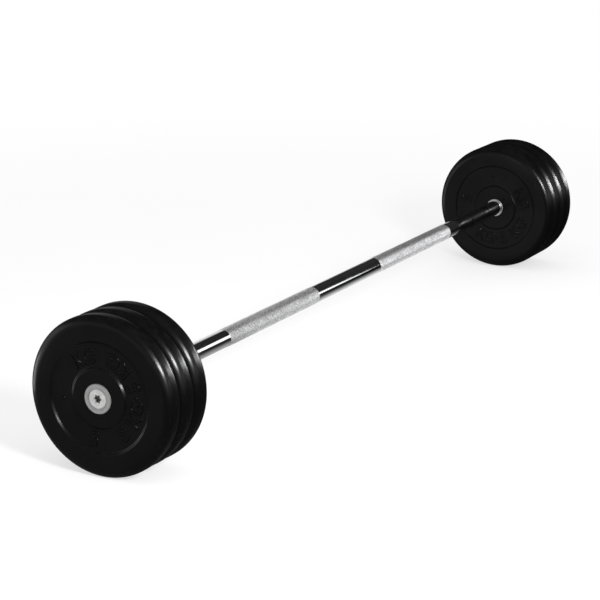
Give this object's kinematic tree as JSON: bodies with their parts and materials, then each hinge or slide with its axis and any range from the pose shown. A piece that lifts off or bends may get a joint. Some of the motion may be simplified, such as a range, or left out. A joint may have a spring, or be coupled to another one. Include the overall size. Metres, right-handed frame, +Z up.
{
  "type": "fixed barbell",
  "caption": "Straight fixed barbell: a chromed bar with knurled grips between stacks of rubber-coated plates, each held by a washer and a countersunk screw.",
  "frame": {"origin": "on the floor below the middle of the bar, where the plates stand", "axes": "+X along the bar, +Z up, +Y level across the bar"},
  "size_m": [1.444, 0.23, 0.23],
  "materials": {
    "bar_chrome": "polished chrome, with matte knurled grips",
    "rubber_coat": "satin black moulded rubber",
    "iron_core": "rough as cast, inside the rubber",
    "bush_steel": "turned, zinc plated",
    "washer_steel": "turned, zinc plated",
    "screw_steel": "matte zinc plated"
  },
  "bodies": {
    "root": {"bar": "bar_chrome", "left_outer_plate_rubber": "rubber_coat", "left_outer_plate_core": "iron_core", "left_outer_plate_bush": "bush_steel", "left_middle_plate_rubber": "rubber_coat", "left_middle_plate_core": "iron_core", "left_middle_plate_bush": "bush_steel", "left_inner_plate_rubber": "rubber_coat", "left_inner_plate_core": "iron_core", "left_inner_plate_bush": "bush_steel", "left_end_washer": "washer_steel", "left_end_screw": "screw_steel", "right_outer_plate_rubber": "rubber_coat", "right_outer_plate_core": "iron_core", "right_outer_plate_bush": "bush_steel", "right_middle_plate_rubber": "rubber_coat", "right_middle_plate_core": "iron_core", "right_middle_plate_bush": "bush_steel", "right_inner_plate_rubber": "rubber_coat", "right_inner_plate_core": "iron_core", "right_inner_plate_bush": "bush_steel", "right_end_washer": "washer_steel", "right_end_screw": "screw_steel"}
  },
  "joints": []
}
